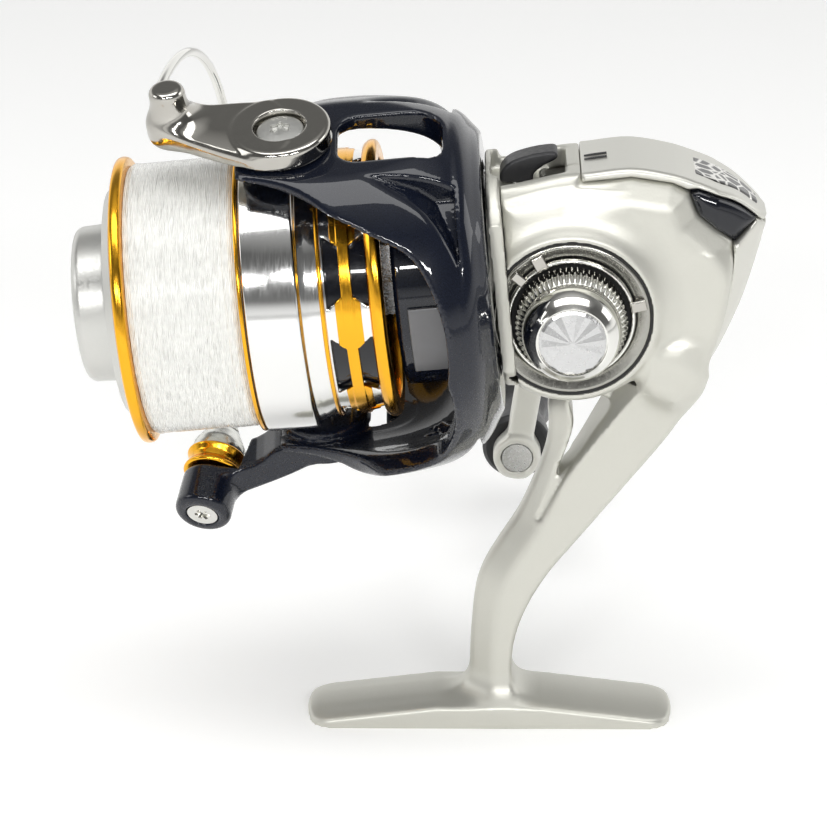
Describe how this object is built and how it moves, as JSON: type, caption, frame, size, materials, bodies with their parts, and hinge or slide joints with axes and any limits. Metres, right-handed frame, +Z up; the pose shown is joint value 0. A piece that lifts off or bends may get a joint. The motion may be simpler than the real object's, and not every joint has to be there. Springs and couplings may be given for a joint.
{
  "type": "spinning reel",
  "caption": "Front-drag spinning reel with foot, hollow two-arm rotor, folding bail, oscillating spool of wound line, drag knob and crank handle.",
  "frame": {"origin": "centre of the foot's flat underside", "axes": "+Z up from the foot to the spool axis, -X along the foot to the spool's front, +Y to the handle"},
  "size_m": [0.1121, 0.1129, 0.1154],
  "materials": {
    "silver_paint": "satin silver paint",
    "bright_silver": "bright silver paint",
    "dark_gloss": "deep blue-black gloss",
    "rotor_paint": "deep navy pearl gloss",
    "grey_plate": "blank grey window plate",
    "gunmetal": "gunmetal plating",
    "black_rubber": "black gasket",
    "dark_chrome": "smoked chrome",
    "chrome": "polished steel",
    "satin_metal": "satin metal",
    "polished_skirt": "polished anodised aluminium",
    "gold": "gold anodised aluminium",
    "line": "clear monofilament, wound",
    "black_plastic": "black moulded plastic",
    "steel": "ground steel",
    "brass": "machined brass",
    "felt": "drag felt"
  },
  "bodies": {
    "reel_frame": {"reel_body": "silver_paint", "side_cover": "silver_paint", "rear_cover": "bright_silver", "rear_insert": "dark_gloss", "top_trim": "bright_silver", "boss_ring": "gunmetal", "boss_gasket": "black_rubber", "body_screws": "steel", "drive_bearings": "steel", "pinion_bearing": "steel", "one_way_clutch": "steel", "clutch_retainer": "steel", "guide_rod": "steel", "oscillation_post": "steel", "lever_pin": "steel"},
    "stopper": {"anti_reverse_lever": "black_plastic"},
    "crank": {"drive_gear": "brass", "drive_tube": "steel", "handle_shaft": "steel", "handle_collar": "silver_paint", "handle_arm": "silver_paint", "knob_shaft": "chrome", "knob_screw": "steel"},
    "cap": {"screw_cap": "dark_chrome", "cap_disc": "chrome"},
    "knob": {"knob_grip": "black_plastic", "knob_cap": "satin_metal", "knob_bushes": "brass"},
    "oscillation_wheel": {"oscillation_gear": "brass"},
    "rotor_group": {"rotor": "rotor_paint", "rotor_nut": "steel", "rotor_plate": "grey_plate", "arm_cover": "rotor_paint", "bail_spring": "steel", "bail_screws": "chrome", "pinion_gear": "brass", "clutch_sleeve": "steel"},
    "trip": {"trip_lever": "steel"},
    "bail": {"bail_lever": "dark_chrome", "bail_wire": "chrome", "wire_cone": "satin_metal", "roller_lever": "rotor_paint", "roller_axle": "chrome", "roller_bearing": "steel"},
    "roller": {"line_roller": "gold"},
    "carriage": {"main_shaft": "steel", "oscillation_slider": "steel", "spool_support": "brass", "drag_plates": "steel"},
    "spool": {"spool_core": "satin_metal", "spool_lip": "gold", "spool_skirt": "polished_skirt", "skirt_rings": "gold", "rear_flange": "gold", "wound_line": "line", "drag_felts": "felt", "drag_retainer": "chrome", "line_clip": "satin_metal"},
    "drag": {"drag_knob": "satin_metal", "drag_nut": "brass"}
  },
  "joints": [
    {"name": "handle_crank", "type": "hinge", "parent": "reel_frame", "child": "crank", "pos_m": [0.01294, 0, 0.0776], "axis": [0, 1, 0], "continuous": true},
    {"name": "handle_knob_spin", "type": "hinge", "parent": "crank", "child": "knob", "pos_m": [0.00497, 0.053, 0.02551], "axis": [0, 1, 0], "continuous": true},
    {"name": "screw_cap_turn", "type": "hinge", "parent": "crank", "child": "cap", "pos_m": [0.01294, 0, 0.0776], "axis": [0, 1, 0], "continuous": true},
    {"name": "oscillation_spin", "type": "hinge", "parent": "reel_frame", "child": "oscillation_wheel", "pos_m": [0.0269, 0, 0.0785], "axis": [0, 1, 0], "continuous": true},
    {"name": "rotor_spin", "type": "hinge", "parent": "reel_frame", "child": "rotor_group", "pos_m": [0, 0, 0.08135], "axis": [-0.9953, 0, -0.0965], "continuous": true},
    {"name": "bail_flip", "type": "hinge", "parent": "rotor_group", "child": "bail", "pos_m": [-0.03016, 0, 0.07842], "axis": [-0.0928, -0.2756, 0.9568], "range_deg": [0, 90]},
    {"name": "trip_swing", "type": "hinge", "parent": "rotor_group", "child": "trip", "pos_m": [-0.01013, 0.00606, 0.05112], "axis": [-0.0928, -0.2756, 0.9568], "range_deg": [0, 8]},
    {"name": "line_roller_spin", "type": "hinge", "parent": "bail", "child": "roller", "pos_m": [-0.04653, 0.00815, 0.04208], "axis": [0.1699, 0.8496, 0.4993], "continuous": true},
    {"name": "spool_stroke", "type": "slide", "parent": "reel_frame", "child": "carriage", "axis": [-0.9953, 0, -0.0965], "range_m": [-0.006, 0.007]},
    {"name": "spool_drag_turn", "type": "hinge", "parent": "carriage", "child": "spool", "pos_m": [-0.04479, 0, 0.07701], "axis": [-0.9953, 0, -0.0965], "continuous": true},
    {"name": "drag_knob_turn", "type": "hinge", "parent": "carriage", "child": "drag", "pos_m": [-0.05972, 0, 0.07556], "axis": [-0.9953, 0, -0.0965], "continuous": true},
    {"name": "stopper_flip", "type": "hinge", "parent": "reel_frame", "child": "stopper", "pos_m": [0.004, 0, 0.097], "axis": [0, 0, 1], "range_deg": [0, 30]}
  ],
  "couplings": [
    {"joint": "oscillation_spin", "follows": "handle_crank", "ratio": -0.75},
    {"joint": "rotor_spin", "follows": "handle_crank", "ratio": 4.8},
    {"joint": "trip_swing", "follows": "bail_flip", "ratio": 0.08}
  ]
}
